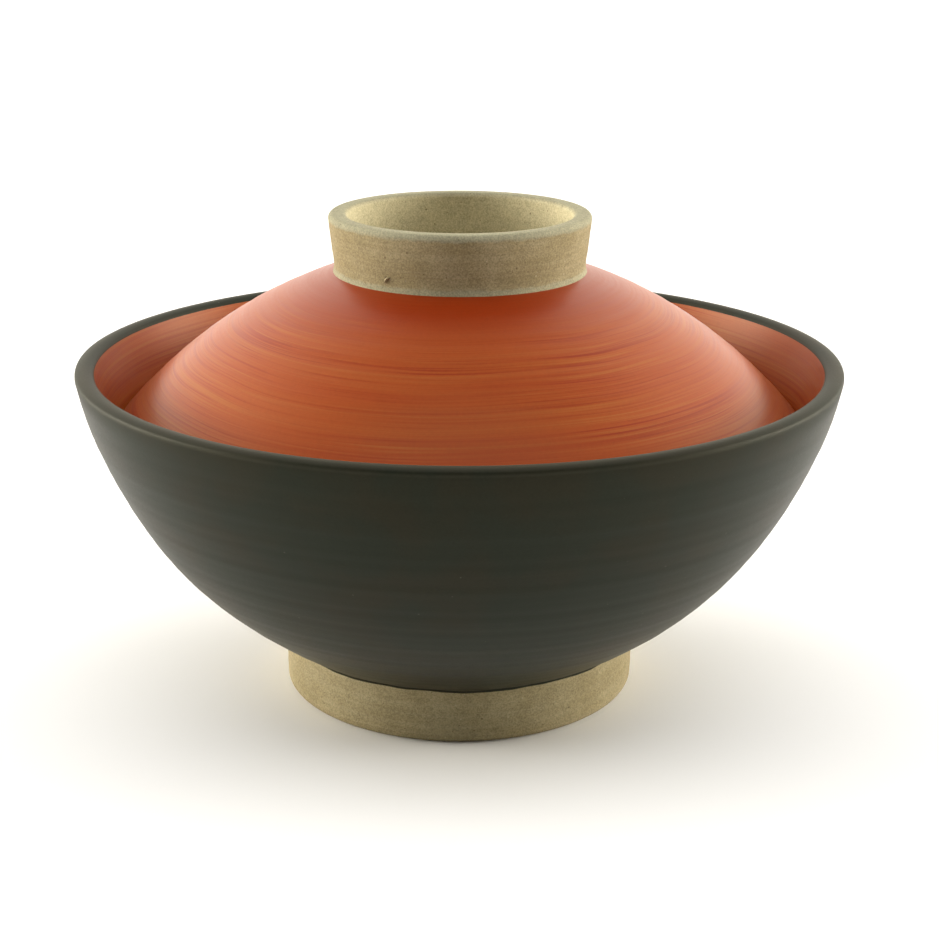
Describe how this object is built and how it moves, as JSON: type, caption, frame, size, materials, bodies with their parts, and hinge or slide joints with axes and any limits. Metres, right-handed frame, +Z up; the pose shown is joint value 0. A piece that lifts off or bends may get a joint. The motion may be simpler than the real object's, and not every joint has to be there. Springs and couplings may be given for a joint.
{
  "type": "lidded rice bowl",
  "caption": "Round footed stoneware bowl with a domed lid that sits down inside its mouth and lifts off by a ring.",
  "frame": {"origin": "centre of the foot ring on the table", "axes": "+Z up along the axis of the bowl and lid; X and Y are alike, since everything is round, and -Y is the side seen in the picture"},
  "size_m": [0.18, 0.18, 0.1153],
  "materials": {
    "clay": "bare fired stoneware, tan with dark and pale specks",
    "dark_slip": "matte charcoal slip with a greenish cast",
    "red_slip": "satin orange-red slip brushed in rings"
  },
  "bodies": {
    "bowl": {"bowl_body": "clay", "foot_ring": "clay", "bowl_outer_slip": "dark_slip", "bowl_inner_slip": "red_slip"},
    "lid": {"lid_body": "clay", "grip_ring": "clay", "lid_outer_slip": "red_slip", "lid_inner_slip": "red_slip"}
  },
  "joints": [
    {"name": "lid_lift", "type": "slide", "parent": "bowl", "child": "lid", "axis": [0, 0, 1], "range_m": [0, 0.12]}
  ]
}
